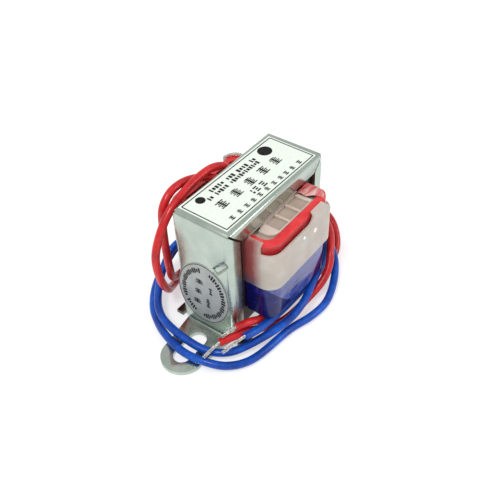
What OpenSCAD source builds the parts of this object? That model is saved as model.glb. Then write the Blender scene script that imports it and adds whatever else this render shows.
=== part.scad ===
// Small chassis transformer: an interleaved E-I core in a folded channel frame with two
// slotted ears, a three-flange bobbin, two taped windings, two moulded covers and four leads.
// Millimetres. +Z is up, X runs from ear to ear, and the ears stand on z = 0.

/* [Core] */
// Width of one lamination
lam_w = 28; // [26:0.5:32]
// Height of one lamination, E and I together
lam_h = 25; // [24:0.5:28]
// Width of the centre leg
leg_w = 8; // [6:0.5:9]
// Width of the outer legs and of both yokes
rim_w = 4; // [3.5:0.25:4.5]
// Thickness of one lamination
lam_t = 0.5; // [0.45:0.01:0.55]
// Number of laminations in the stack
lam_count = 22; // [20:2:24]

/* [Frame] */
// Thickness of the frame's sheet
sheet = 0.8; // [0.6:0.05:1]
// Clearance between the stack and each lip
lip_gap = 0.2; // [0.1:0.05:0.3]
// Height of the core above the standing surface
core_lift = 2; // [1.8:0.1:3]
// Depth of the lips below the top face
lip_top = 3; // [2.4:0.1:3.4]
// Depth of the lips along the side plates
lip_side = 2.8; // [2:0.1:3]
// Inner radius of the folds at the feet
fold_in = 0.3; // [0.1:0.05:0.5]
// Outer radius of the folds round the top and the sides
fold_out = 1; // [0.85:0.05:1.3]
// Width of the mitre notch between two lips
mitre_gap = 0.4; // [0.2:0.05:0.8]
// Length of the press mark beside the sticker
mark_l = 4; // [2:0.1:4.2]
// Width of the press mark
mark_w = 1; // [0.6:0.1:1.4]
// Depth of the press mark
mark_depth = 0.2; // [0.1:0.05:0.3]

/* [Ears] */
// Distance between the centres of the two slots
mount_pitch = 41.6; // [40:0.1:44]
// Width of each slot
slot_w = 3.5; // [3:0.1:4.2]
// Length of each slot
slot_len = 8.2; // [6:0.1:9]
// Metal left round the end of each slot
ear_rim = 2.3; // [1.5:0.1:3]
// Radius of the rounded end of each ear
ear_r = 4.3; // [3.8:0.1:5]
// Width of each ear at its fold
ear_root_w = 10.8; // [9.5:0.1:11]
// How far the foot tabs reach past the lips
tab_out = 1.9; // [1.5:0.1:2.5]

/* [Bobbin] */
// Wall of the tube round the centre leg
tube_wall = 0.8; // [0.5:0.1:1]
// Thickness of each flange
flange_t = 0.8; // [0.6:0.1:1]
// Clearance between the bobbin and the core
bobbin_gap = 0.15; // [0.1:0.05:0.25]
// How far the flanges reach past the stack, front and back
flange_reach = 5.75; // [5:0.25:6.5]
// Height of the middle flange's underside above the core's window
split_h = 6.9; // [5:0.1:9]
// Corner radius of the flanges
flange_r = 2.8; // [1.5:0.1:3.5]
// Height of the ribbed tray above the top flange
tray_h = 0.6; // [0.4:0.1:1]
// Thickness of the ribs in the tray
rib_t = 0.4; // [0.3:0.05:0.6]

/* [Windings] */
// Thickness of the wound tape
tape_t = 0.35; // [0.2:0.05:0.35]
// How far the tape stands past the window, above and below
tape_over = 0.75; // [0.5:0.05:1]
// Width of the tape's folded edge
tape_fold = 1.6; // [1:0.1:2.5]

/* [Covers] */
// Wall of the moulded covers
cover_t = 0.45; // [0.3:0.05:0.6]
// Clearance between the tape and the covers' sides
cover_side = 0.7; // [0.5:0.1:1.1]
// Radius of the covers' upright corners
cover_r = 3; // [2:0.1:3.2]
// Radius of the covers' top shoulders
shoulder_r = 1; // [0.8:0.1:1.5]
// Depth of the window in each cover's face
cover_dip = 2.5; // [1.5:0.1:4]
// Width of the window in each cover's face
window_w = 11.4; // [8:0.2:13]

/* [Labels] */
// Thickness of the labels
label_t = 0.1; // [0.05:0.01:0.2]
// Length of the top label
label_l = 26.8; // [20:0.2:27]
// Width of the top label
label_w = 11; // [8:0.2:11]
// Turn of the top label
label_turn = -1.2; // [-2:0.1:2]
// Width of the oval sticker
sticker_w = 11.9; // [8:0.1:12.4]
// Height of the oval sticker
sticker_h = 15.7; // [10:0.1:15.8]
// Turn of the oval sticker
sticker_turn = 12.4; // [0:0.1:15]

/* [Leads] */
// Outside diameter of each lead
lead_d = 1.6; // [1.2:0.1:1.6]
// Diameter of the bared, tinned strands
strand_d = 0.8; // [0.5:0.1:1]

/* [Hidden] */
$fn = 64;

eps = 0.01;
far = 100;

// Core: its underside is at core_z and its windows run from win_z to win_top
stack = lam_t * lam_count;
core_z = core_lift;
win_z = core_z + rim_w;
win_top = core_z + lam_h - rim_w;
win_w = (lam_w - leg_w) / 2 - rim_w;

// Frame: the lips start at lip_y, and the plates end above the feet at foot_z
frame_l = lam_w + 2 * sheet;
frame_w = stack + 2 * (lip_gap + sheet);
frame_h = core_z + lam_h + sheet;
lip_y = frame_w / 2 - sheet;
foot_z = sheet + fold_in;
mark_y = -lip_y + 1.75;
mark_z = frame_h - 8.5;
mark_turn = -50;
slot_x = mount_pitch / 2;
ear_tip = slot_x + slot_len / 2 + ear_rim;

// Bobbin: it stands on the lower yoke
tube_x = leg_w / 2 + bobbin_gap;
tube_y = stack / 2 + bobbin_gap;
flange_x = leg_w / 2 + win_w - 0.5;
flange_y = stack / 2 + flange_reach;
bob_top = win_top - bobbin_gap;
mid_z = win_z + split_h;
face_y = stack / 2 + 0.3;

// Tapes and covers
tape_x = flange_x + tape_t;
tape_y = flange_y + tape_t;
tape_split = mid_z + flange_t / 2;
tape_top = win_top + tape_over;
tape_bottom = win_z - tape_over;
tape_r = shoulder_r - cover_t + 0.05;
cover_half = tape_x + cover_side + cover_t;
cover_y = tape_y + cover_t;
cover_bottom = tape_split - 0.15;
cover_top = tape_top + cover_t;

// Labels
sticker_y = 0.6;
sticker_z = 10.1;

// Routes of the leads, from the coil to the cut end
RED_1 = [[3.5, 7.5, bob_top], [3.5, 7.5, 24.2], [2.5, 8, 26], [-0.4, 8.6, 27.2],
    [-4, 8.9, 27.2], [-8, 8.9, 26.6], [-12.3, 9, 24.9], [-15.6, 9, 21.7], [-17.7, 9, 17.2],
    [-17.3, 9, 11], [-15, 9.9, 6], [-11.2, 12.6, 2], [-6.6, 13.8, 1.1], [10, 13, 1.1],
    [16.4, 10, 2.2], [20.6, 5, 5], [22, -1, 7], [21, -5.8, 5.9], [18.4, -8.9, 2.7],
    [14.4, -9.9, 1], [8, -9, 0.95], [0, -7.9, 1.1], [-9.4, -8.5, 3.9], [-12.4, -8.3, 5.7],
    [-15.4, -7.2, 6.2]];
RED_2 = [[0.2, 7.1, bob_top], [0.2, 7.1, 23.9], [-0.5, 7.9, 25.1], [-2.6, 9.8, 25.8],
    [-6, 11, 26.4], [-9.6, 11.2, 26.2], [-12, 11.2, 24.2], [-12.7, 11.2, 20.5],
    [-12.5, 11.2, 8.6], [-11.2, 11.9, 5], [-7.6, 12.7, 3.3], [6, 13, 2.8], [12.4, 11.4, 3.8],
    [16.4, 7, 6], [18.1, 1, 8.4], [17.4, -4.8, 9.8], [14.6, -9, 9.4], [11.4, -11.3, 7.7],
    [8.8, -12.6, 5.4], [6.4, -12.7, 3.4], [3.2, -12.1, 1.8], [-4.6, -11, 0.9], [-8.4, -9.5, 1.4],
    [-14.3, -8, 4.2], [-18.7, -5.8, 4.1]];
BLUE_1 = [[2.8, tape_y, 7.4], [2.8, 13.1, 7.4], [1.2, 15.7, 6.9], [-2, 17, 5.9], [-7, 17, 4],
    [-12.6, 15.8, 1.8], [-17.2, 12.6, 0.95], [-20, 8.6, 0.95], [-21.7, 5.2, 1.65],
    [-22.9, 0, 1.65], [-22.5, -4.7, 1.75], [-20.6, -8.6, 1.2], [-16.8, -11.4, 0.9],
    [-6, -13.3, 0.9], [-1, -14.8, 0.9], [4, -15.2, 0.9], [9.6, -13.6, 1.6], [13.4, -11.4, 3],
    [16.8, -8, 3.8], [20.2, -4.6, 3.4], [22.2, -1, 2.6], [21.6, 2.2, 1.9], [19.3, 3.5, 1.65],
    [17, 2.2, 1.65], [16.3, -0.6, 1.65], [16.4, -4.4, 1.8], [15.5, -7.6, 2.2], [12.2, -9.5, 2.7],
    [-3, -10.4, 3.3], [-12.2, -10, 4.5], [-15.4, -9.3, 5.1]];
BLUE_2 = [[-2, tape_y, 8.4], [-2, 12.9, 8.4], [-3.4, 14.9, 8.2], [-6.6, 15.8, 7.4], [-11, 15, 5],
    [-14.8, 13, 3.6], [-18.2, 9.9, 2.8], [-20.2, 5.4, 2.8], [-20.2, -3.4, 1.7],
    [-18.2, -7.2, 1.7], [-14.6, -9.4, 1.8], [-5.8, -12.6, 2.9], [-1.2, -12.9, 3.8],
    [3.8, -11.8, 4.2], [9, -10.5, 4.4], [13, -9.4, 4.9], [16.3, -6.9, 5.4], [18.2, -2.6, 5.2],
    [18.6, 1.5, 4.4]];
RED_END_1 = [-18.3, -6.1, 5.6];
RED_END_2 = [-22.6, -5, 3.2];
BLUE_END_1 = [-20.4, -7.8, 4.4];
BLUE_END_2 = [18.6, 4.7, 3.7];

// A rectangle about the origin with round corners
module round_rect(l, w, r) {
    square([l - 2 * r, w], center = true);
    square([l, w - 2 * r], center = true);
    for (sx = [-1, 1], sy = [-1, 1])
        translate([sx * (l / 2 - r), sy * (w / 2 - r)]) circle(r);
}

// A slot about the origin with round ends, running along X
module slot(l, w) {
    square([l - w, w], center = true);
    for (s = [-1, 1]) translate([s * (l - w) / 2, 0]) circle(w / 2);
}

// Turns a drawing in X and Z into a wall of depth d, centred on y = 0
module along_y(d) {
    rotate([90, 0, 0]) linear_extrude(d, center = true) children();
}

// Turns a drawing in Y and Z into a bar of length l, centred on x = 0
module along_x(l) {
    rotate([90, 0, 90]) linear_extrude(l, center = true) children();
}

// A block from z0 to z1 with upright corners of radius r and top shoulders of radius rt
module soft_block(l, w, z0, z1, r, rt) {
    h = z1 - z0;
    intersection() {
        translate([0, 0, z0]) linear_extrude(h) round_rect(l, w, r);
        translate([0, 0, z0]) along_y(w) round_rect(l, 2 * h, rt);
        translate([0, 0, z0]) along_x(l) round_rect(w, 2 * h, rt);
    }
}

// Section of a plate that comes down at x = 0 and folds outwards onto z = 0
module fold_section(out) {
    bend = fold_in + sheet;
    translate([-out, 0]) square([out - fold_in, sheet]);
    intersection() {
        translate([-fold_in, 0]) square(bend);
        translate([-fold_in, bend]) difference() {
            circle(bend);
            circle(fold_in);
        }
    }
}

// Outline of the ear at the -X end, seen from above, with its slot
module ear_outline() {
    root = -frame_l / 2 + sheet;
    tip_c = -ear_tip + ear_r;
    lean = atan((ear_root_w / 2 - ear_r) / (root - tip_c));
    difference() {
        union() {
            translate([tip_c, 0]) circle(ear_r);
            // the sides run straight from the fold to where they touch the round end
            polygon([[root, ear_root_w / 2], [root, -ear_root_w / 2],
                [tip_c + ear_r * sin(lean), -ear_r * cos(lean)],
                [tip_c + ear_r * sin(lean), ear_r * cos(lean)]]);
        }
        translate([-slot_x, 0]) slot(slot_len, slot_w);
    }
}

module ear() {
    intersection() {
        translate([-frame_l / 2, 0, 0]) along_y(ear_root_w) fold_section(ear_tip);
        translate([0, 0, -eps]) linear_extrude(foot_z + 1) ear_outline();
    }
}

// Foot tab at the lower end of the lip at -X and -Y
module foot_tab() {
    l = lip_side - fold_out;
    translate([-frame_l / 2 + fold_out + l / 2, -frame_w / 2, 0])
        along_x(l) fold_section(tab_out);
    translate([-frame_l / 2, -frame_w / 2 - tab_out, 0])
        cube([lip_side, tab_out - fold_in, sheet]);
}

// What leaves the four lips when it is cut from the long faces, drawn in X and Z
module lip_opening() {
    inner_x = frame_l / 2 - lip_side;
    inner_z = frame_h - lip_top;
    out_x = frame_l / 2 + 1;
    mitre = frame_h - frame_l / 2;
    half = mitre_gap / sqrt(2);
    for (s = [-1, 1]) polygon([[0, inner_z], [0, -far], [s * inner_x, -far],
        [s * inner_x, mitre - half + inner_x], [s * out_x, mitre - half + out_x],
        [s * out_x, mitre + half + out_x], [s * (inner_z - mitre - half), inner_z]]);
}

module channel_frame() {
    color("silver") {
        difference() {
            soft_block(frame_l, frame_w, foot_z, frame_h, fold_out, fold_out);
            translate([-lam_w / 2, -lip_y, 0]) cube([lam_w, 2 * lip_y, frame_h - sheet]);
            for (s = [-1, 1]) translate([0, s * (lip_y + far / 2), 0]) along_y(far) lip_opening();
            translate([-frame_l / 2, mark_y, mark_z]) along_x(2 * mark_depth)
                rotate(mark_turn) slot(mark_l, mark_w);
        }
        for (s = [0, 1]) mirror([s, 0, 0]) {
            ear();
            for (t = [0, 1]) mirror([0, t, 0]) foot_tab();
        }
    }
}

// One E, standing in X and Z with its yoke at the bottom
module e_shape() {
    difference() {
        translate([-lam_w / 2, 0]) square([lam_w, lam_h - rim_w]);
        for (s = [-1, 1]) translate([s * (leg_w + win_w) / 2 - win_w / 2, rim_w])
            square([win_w, far]);
    }
}

// One I, standing on the X axis
module i_shape() {
    translate([-lam_w / 2, 0]) square([lam_w, rim_w]);
}

// Every second lamination of the stack, the first one at index first
module sheets(first) {
    for (i = [first:2:lam_count - 1]) translate([0, -stack / 2 + (i + 1) * lam_t, 0])
        rotate([90, 0, 0]) linear_extrude(lam_t) children();
}

module e_laminations_up() {
    color("dimgray") sheets(0) translate([0, core_z]) e_shape();
}

module e_laminations_down() {
    color("dimgray") sheets(1) translate([0, core_z + lam_h]) mirror([0, 1]) e_shape();
}

module i_laminations_top() {
    color("gray") sheets(0) translate([0, win_top]) i_shape();
}

module i_laminations_bottom() {
    color("gray") sheets(1) translate([0, core_z]) i_shape();
}

// Outline of the bobbin's flanges
module flange_outline() {
    round_rect(2 * flange_x, 2 * flange_y, flange_r);
}

// Outline of the bobbin's tube
module tube_outline() {
    square([2 * (tube_x + tube_wall), 2 * (tube_y + tube_wall)], center = true);
}

// The ribbed tray on the top flange, in front of the yoke
module tray() {
    l = [-flange_x + 2.9, flange_x - 3.3];
    d = flange_y - face_y - 1.5;
    pitch = (l[1] - l[0] - 2.2 - rib_t) / 3;
    translate([0, -face_y, bob_top - eps]) linear_extrude(tray_h + eps) difference() {
        union() {
            translate([l[0] + 2, -d]) square([l[1] - l[0] - 2, d]);
            translate([l[0], 2 - d]) square([3, d - 2.6]);
            translate([l[0] + 2, 2 - d]) circle(2);
        }
        for (i = [0:2]) translate([l[0] + 2.2 + i * pitch, 0.3 - d])
            square([pitch - rib_t, d - 0.6]);
    }
}

module bobbin() {
    color("bisque") {
        difference() {
            union() {
                translate([0, 0, win_z]) linear_extrude(bob_top - win_z) tube_outline();
                for (z = [win_z, mid_z, bob_top - flange_t])
                    translate([0, 0, z]) linear_extrude(flange_t) flange_outline();
            }
            linear_extrude(far) square([2 * tube_x, 2 * tube_y], center = true);
        }
        for (a = [0, 180]) rotate([0, 0, a]) tray();
    }
}

// A winding that fills the bobbin from z0 to z1
module winding(z0, z1) {
    translate([0, 0, z0]) linear_extrude(z1 - z0) difference() {
        flange_outline();
        tube_outline();
    }
}

module primary_winding() {
    color("chocolate") winding(mid_z + flange_t, bob_top - flange_t);
}

module secondary_winding() {
    color("chocolate") winding(win_z + flange_t, mid_z);
}

// Tape wound on the flanges' edges from z0 to z1 and folded in over the edge at z1
module tape(z0, z1) {
    difference() {
        soft_block(2 * tape_x, 2 * tape_y, z0, z1, flange_r + tape_t, tape_r);
        translate([0, 0, z0 - 1]) linear_extrude(z1 - tape_t - z0 + 1) flange_outline();
        linear_extrude(far)
            round_rect(2 * (tape_x - tape_fold), 2 * (tape_y - tape_fold), flange_r - 1);
    }
}

module primary_tape() {
    color("firebrick") difference() {
        tape(tape_split, tape_top);
        translate([-far / 2, -face_y, bob_top]) cube([far, 2 * face_y, far]);
    }
}

module secondary_tape() {
    color("navy") difference() {
        translate([0, 0, tape_split]) mirror([0, 0, 1]) tape(0, tape_split - tape_bottom);
        translate([-far / 2, -face_y, win_z + bobbin_gap - far]) cube([far, 2 * face_y, far]);
    }
}

// One moulded cover: a shell over the front of the coil, open towards the core
module cover() {
    rim = 2;
    face_x = -cover_half + rim;
    difference() {
        soft_block(2 * cover_half, 2 * cover_y, cover_bottom, cover_top, cover_r, shoulder_r);
        soft_block(2 * (cover_half - cover_t), 2 * tape_y, cover_bottom - 1, tape_top,
            cover_r - cover_t, shoulder_r - cover_t);
        translate([-far / 2, -stack / 2, 0]) cube(far);
        // opening over the bobbin
        translate([0, 0, tape_top - eps]) linear_extrude(far) difference() {
            round_rect(2 * (cover_half - rim - 0.5), 2 * tape_y, cover_r);
            translate([-far / 2, -face_y - 0.4]) square(far);
        }
        // window in the face
        translate([face_x + window_w / 2, -cover_y, cover_top]) along_y(2 * cover_r)
            round_rect(window_w, 2 * cover_dip, 1.5);
    }
}

module front_cover() {
    color("mistyrose", 0.8) cover();
}

module rear_cover() {
    color("mistyrose", 0.8) rotate([0, 0, 180]) cover();
}

module top_label() {
    color("whitesmoke") translate([-0.25, 0, frame_h]) rotate([0, 0, label_turn])
        linear_extrude(label_t) square([label_l, label_w], center = true);
}

module side_sticker() {
    color("lightgray") translate([-frame_l / 2 - label_t / 2, sticker_y, sticker_z])
        along_x(label_t) rotate(sticker_turn) scale([sticker_w / sticker_h, 1])
            circle(d = sticker_h);
}

// Sweep of an eight-sided tube along a route
function unit(v) = v / norm(v);
function heading(p, i) =
    i == 0 ? unit(p[1] - p[0]) :
    i == len(p) - 1 ? unit(p[i] - p[i - 1]) :
    unit(unit(p[i] - p[i - 1]) + unit(p[i + 1] - p[i]));
function across(h, v) = unit(v - (v * h) * h);
function rings(p, r, v, i = 0) =
    let (h = heading(p, i), s = across(h, v), t = cross(h, s))
    concat([for (k = [0:7]) p[i] + r * (cos(45 * k) * s + sin(45 * k) * t)],
        i == len(p) - 1 ? [] : rings(p, r, s, i + 1));

module tube(route, d, side) {
    n = len(route);
    polyhedron(rings(route, d / 2, side), concat(
        [[for (k = [0:7]) k], [for (k = [7:-1:0]) 8 * (n - 1) + k]],
        [for (i = [0:n - 2], k = [0:7], half = [0, 1])
            let (a = 8 * i + k, b = 8 * i + (k + 1) % 8)
            half == 0 ? [a, a + 8, b + 8] : [a, b + 8, b]]));
}

// Bared strands from the cut end of a route to a point, leaving the cut squarely
module tip(route, end) {
    n = len(route);
    cut = route[n - 1];
    tube([cut, cut + 0.8 * heading(route, n - 1), end], strand_d, [0, 0, 1]);
}

module red_lead_1() {
    color("crimson") tube(RED_1, lead_d, [1, 0, 0]);
}

module red_lead_2() {
    color("crimson") tube(RED_2, lead_d, [1, 0, 0]);
}

module blue_lead_1() {
    color("royalblue") tube(BLUE_1, lead_d, [0, 0, 1]);
}

module blue_lead_2() {
    color("royalblue") tube(BLUE_2, lead_d, [0, 0, 1]);
}

module red_tip_1() {
    color("silver") tip(RED_1, RED_END_1);
}

module red_tip_2() {
    color("silver") tip(RED_2, RED_END_2);
}

module blue_tip_1() {
    color("silver") tip(BLUE_1, BLUE_END_1);
}

module blue_tip_2() {
    color("silver") tip(BLUE_2, BLUE_END_2);
}

channel_frame();
e_laminations_up();
e_laminations_down();
i_laminations_top();
i_laminations_bottom();
bobbin();
primary_winding();
secondary_winding();
primary_tape();
secondary_tape();
front_cover();
rear_cover();
top_label();
side_sticker();
red_lead_1();
red_lead_2();
blue_lead_1();
blue_lead_2();
red_tip_1();
red_tip_2();
blue_tip_1();
blue_tip_2();
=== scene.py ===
"""A small chassis transformer: folded zinc frame, E-I core, taped coil in two milky covers,
two red and two blue leads.

Sizes are written in millimetres and times MM where Blender needs metres. Places inside the
materials are in metres. X runs from ear to ear, Z is up, and the ears stand on z = 0.
"""

import math

import bmesh
import bpy
from mathutils import Matrix, Vector


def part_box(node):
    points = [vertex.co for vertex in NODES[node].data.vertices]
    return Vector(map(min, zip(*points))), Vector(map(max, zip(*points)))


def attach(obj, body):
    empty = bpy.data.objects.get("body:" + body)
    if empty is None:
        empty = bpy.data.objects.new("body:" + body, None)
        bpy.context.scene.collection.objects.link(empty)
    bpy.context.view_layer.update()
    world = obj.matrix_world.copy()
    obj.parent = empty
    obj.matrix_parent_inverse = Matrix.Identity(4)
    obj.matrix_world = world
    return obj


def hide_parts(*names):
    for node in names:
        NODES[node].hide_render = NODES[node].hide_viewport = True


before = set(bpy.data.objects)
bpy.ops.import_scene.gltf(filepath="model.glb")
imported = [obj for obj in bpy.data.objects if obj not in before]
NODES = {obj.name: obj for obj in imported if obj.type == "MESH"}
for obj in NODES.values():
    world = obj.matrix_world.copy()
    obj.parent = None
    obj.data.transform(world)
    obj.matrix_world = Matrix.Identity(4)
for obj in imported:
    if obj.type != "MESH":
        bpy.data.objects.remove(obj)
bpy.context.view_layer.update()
MM = 0.001


def show(name, data):
    """An object at the origin, in the scene."""
    made = bpy.data.objects.new(name, data)
    bpy.context.scene.collection.objects.link(made)
    return made


# ---------------------------------------------------------------- camera

# Its place, its lens in millimetres, and its heading, tilt and roll in degrees
CAMERA_PLACE = Vector((-80.65, -61.53, 105.79)) * MM
CAMERA_LENS = 50.28
CAMERA_HEADING = -52.355
CAMERA_DOWN = 43.284
CAMERA_ROLL = -2.071


def set_camera():
    """Looks down on the transformer from beyond its -X and -Y corner, slightly rolled."""
    data = bpy.data.cameras.new("camera")
    data.sensor_width = 36
    data.lens = CAMERA_LENS
    data.clip_start = 0.005
    data.clip_end = 10
    camera = show("camera", data)
    heading = Matrix.Rotation(math.radians(CAMERA_HEADING), 4, "Z")
    tilt = Matrix.Rotation(math.radians(90 - CAMERA_DOWN), 4, "X")
    roll = Matrix.Rotation(math.radians(CAMERA_ROLL), 4, "Z")
    camera.matrix_world = Matrix.Translation(CAMERA_PLACE) @ heading @ tilt @ roll
    bpy.context.scene.camera = camera
    bpy.context.scene.view_settings.view_transform = "Standard"


set_camera()


# ---------------------------------------------------------------- shader helpers

class Maker:
    """A material under construction: its node tree, its principled shader and short cuts."""

    def __init__(self, name, colour, rough, **sockets):
        self.material = bpy.data.materials.new(name)
        self.material.use_nodes = True
        self.tree = self.material.node_tree
        self.shader = self.tree.nodes["Principled BSDF"]
        self.shader.inputs["Base Color"].default_value = (*colour, 1)
        self.shader.inputs["Roughness"].default_value = rough
        for key, value in sockets.items():
            self.shader.inputs[key.replace("_", " ")].default_value = value
        self.place = self.node("ShaderNodeTexCoord").outputs["Object"]

    def node(self, kind, **settings):
        """A new node with its settings."""
        made = self.tree.nodes.new(kind)
        for key, value in settings.items():
            setattr(made, key, value)
        return made

    def feed(self, node, **inputs):
        """Link or set a node's inputs, by name, or by number as _0."""
        for key, value in inputs.items():
            key = int(key[1:]) if key[0] == "_" else key.replace("_", " ")
            socket = node.inputs[key]
            if isinstance(value, bpy.types.NodeSocket):
                self.tree.links.new(value, socket)
            else:
                socket.default_value = value
        return node

    def mapped(self, scale, turn=(0, 0, 0)):
        """Object coordinates, turned and stretched."""
        made = self.feed(self.node("ShaderNodeMapping"), Vector=self.place)
        self.feed(made, Rotation=turn, Scale=scale)
        return made.outputs[0]

    def noise(self, size, detail=3, rough=0.55, place=None):
        """Cloudy pattern with features of about that size in metres."""
        made = self.node("ShaderNodeTexNoise")
        self.feed(made, Vector=place or self.place, Scale=1 / size, Detail=detail, Roughness=rough)
        return made.outputs["Fac"]

    def ramp(self, value, *stops):
        """Colour ramp with (position, colour) stops; a number is a grey."""
        made = self.feed(self.node("ShaderNodeValToRGB"), Fac=value)
        ramp = made.color_ramp
        while len(ramp.elements) < len(stops):
            ramp.elements.new(0.5)
        for element, (position, colour) in zip(ramp.elements, stops):
            element.position = position
            grey = isinstance(colour, (int, float))
            element.color = (colour, colour, colour, 1) if grey else (*colour, 1)
        return made.outputs["Color"]

    def spread(self, value, low, high, from_low=0.0, from_high=1.0):
        """A value taken from its old range to low and high, and held there beyond it."""
        made = self.feed(self.node("ShaderNodeMapRange"), Value=value)
        self.feed(made, From_Min=from_low, From_Max=from_high, To_Min=low, To_Max=high)
        return made.outputs[0]

    def math(self, operation, a, b=0.0):
        """One sum on two values."""
        made = self.node("ShaderNodeMath", operation=operation)
        return self.feed(made, _0=a, _1=b).outputs[0]

    def mix(self, factor, a, b):
        """Mix two colours."""
        made = self.node("ShaderNodeMix", data_type="RGBA")
        a = (*a, 1) if isinstance(a, tuple) else a
        b = (*b, 1) if isinstance(b, tuple) else b
        return self.feed(made, _0=factor, _6=a, _7=b).outputs[2]

    def axes(self):
        """X, Y and Z of the Object coordinates."""
        made = self.feed(self.node("ShaderNodeSeparateXYZ"), Vector=self.place)
        return made.outputs[0], made.outputs[1], made.outputs[2]

    def paint(self, colour):
        """The shader's colour."""
        self.feed(self.shader, Base_Color=colour)

    def finish(self, rough):
        """The shader's roughness."""
        self.feed(self.shader, Roughness=rough)

    def bump(self, height, depth, strength=1.0):
        """Relief of that depth in metres; gives the finished material."""
        made = self.node("ShaderNodeBump")
        self.feed(made, Height=height, Distance=depth, Strength=strength)
        self.feed(self.shader, Normal=made.outputs[0])
        return self.material


def rgb(red, green, blue):
    """A screen colour, 0 to 255, as linear light."""
    def one(c):
        """One of its three parts."""
        c /= 255
        return c / 12.92 if c <= 0.04045 else ((c + 0.055) / 1.055) ** 2.4
    return one(red), one(green), one(blue)


# ---------------------------------------------------------------- the finishes

# The press mark on the -X plate: its middle, its turn in degrees, half its straight part,
# the two edges of its rim, and where the plate's outside lies
MARK_Y = -0.00395
MARK_Z = 0.0193
MARK_TURN = -50
MARK_REACH = 0.0016
MARK_EDGE = (0.0004, 0.0009)
MARK_PLATE_X = (-0.0146, -0.0144)


def press_mark(m, x, y, z):
    """Relief round the long dent beside the sticker, 0 in it and 1 outside."""
    across, up = m.math("SUBTRACT", y, MARK_Y), m.math("SUBTRACT", z, MARK_Z)
    turn = math.radians(MARK_TURN)
    along = m.math("ADD", m.math("MULTIPLY", across, math.cos(turn)),
                   m.math("MULTIPLY", up, math.sin(turn)))
    aside = m.math("ADD", m.math("MULTIPLY", across, -math.sin(turn)),
                   m.math("MULTIPLY", up, math.cos(turn)))
    past = m.math("MAXIMUM", m.math("SUBTRACT", m.math("ABSOLUTE", along), MARK_REACH), 0.0)
    away = m.math("SQRT", m.math("ADD", m.math("MULTIPLY", past, past),
                                 m.math("MULTIPLY", aside, aside)))
    dent = m.spread(away, 0.0, 1.0, *MARK_EDGE)
    return m.math("MAXIMUM", dent, m.spread(x, 0.0, 1.0, *MARK_PLATE_X))


# Heights between which the dark blotches fade out, and where the painted shade on the foot tabs
# begins and ends
BLOTCH_Z = (0.0005, 0.007)
TAB_Y = (0.0064, 0.0069)
TAB_Z = (0.0008, 0.002)


def zinc_steel():
    """Bright zinc plate: faint spangle, rolling lines, dark blotches low down and painted shade on
    the foot tabs.
    """
    m = Maker("zinc_steel", rgb(184, 195, 186), 0.32, Metallic=1.0)
    spangle = m.noise(0.0022, 4)
    lines = m.noise(0.0006, 3, place=m.mapped(scale=(1, 1, 0.06)))
    blotch_noise = m.noise(0.005, 5, 0.65)
    tone = m.ramp(spangle, (0.3, rgb(178, 191, 181)), (0.7, rgb(191, 203, 193)))
    x, y, z = m.axes()
    # blotches that darken the plate towards the bottom
    low = m.spread(z, 0.35, 0.0, *BLOTCH_Z)
    low_blotches = m.math("MULTIPLY", m.ramp(blotch_noise, (0.45, 0), (0.75, 1)), low)
    blotched = m.mix(low_blotches, tone, rgb(120, 122, 112))
    # painted shade: the foot tabs beside the ears are painted nearly black, as if in shadow
    tab_shade = m.math("MULTIPLY", m.spread(m.math("ABSOLUTE", y), 0.0, 0.8, *TAB_Y),
                 m.spread(z, 1.0, 0.0, *TAB_Z))
    m.paint(m.mix(tab_shade, blotched, rgb(52, 52, 48)))
    m.finish(m.spread(spangle, 0.22, 0.32))
    height = m.math("MULTIPLY", m.math("ADD", lines, m.math("MULTIPLY", blotch_noise, 0.6)), 0.03)
    return m.bump(m.math("ADD", height, press_mark(m, x, y, z)), 0.00035, 1.0)


def core_steel():
    """Silicon steel edges under dark dipping varnish."""
    m = Maker("core_steel", rgb(52, 44, 40), 0.42, Metallic=0.35)
    patches = m.noise(0.0015, 5)
    m.paint(m.ramp(patches, (0.3, rgb(26, 21, 19)), (0.6, rgb(58, 50, 44)),
                   (0.8, rgb(92, 80, 68))))
    m.finish(m.spread(patches, 0.3, 0.6))
    return m.bump(patches, 0.00006, 0.5)


# From the floor of the bobbin's tray up to its ribs
TRAY_Z = (0.0229, 0.0233)


def bobbin_nylon():
    """Cream moulded nylon, a little translucent, with painted shade on the tray's floor between
    its ribs.
    """
    m = Maker("bobbin_nylon", rgb(226, 208, 196), 0.45, Subsurface_Weight=0.25,
              Subsurface_Scale=0.001)
    clouds = m.noise(0.003, 4)
    tone = m.ramp(clouds, (0.3, rgb(206, 186, 174)), (0.7, rgb(226, 210, 198)))
    # painted shade: the tray's floor, below the tops of its ribs, is painted darker
    tray_cell_shade = m.spread(m.axes()[2], 0.55, 0.0, *TRAY_Z)
    m.paint(m.mix(tray_cell_shade, tone, rgb(150, 132, 118)))
    m.finish(m.spread(clouds, 0.36, 0.52))
    return m.bump(m.noise(0.0004, 3), 0.00001, 0.4)


def enamelled_copper():
    """Fine wire laid turn by turn under lacquer."""
    m = Maker("enamelled_copper", rgb(150, 70, 32), 0.3, Metallic=0.8)
    turns = m.node("ShaderNodeTexWave", wave_type="BANDS", bands_direction="Z")
    m.feed(turns, Vector=m.place, Scale=1300.0, Distortion=0.6, Detail=1.0)
    m.paint(m.ramp(turns.outputs["Fac"], (0.1, rgb(72, 26, 12)), (0.7, rgb(176, 92, 44))))
    m.finish(m.spread(m.noise(0.001), 0.24, 0.42))
    return m.bump(turns.outputs["Fac"], 0.00006, 0.8)


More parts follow.
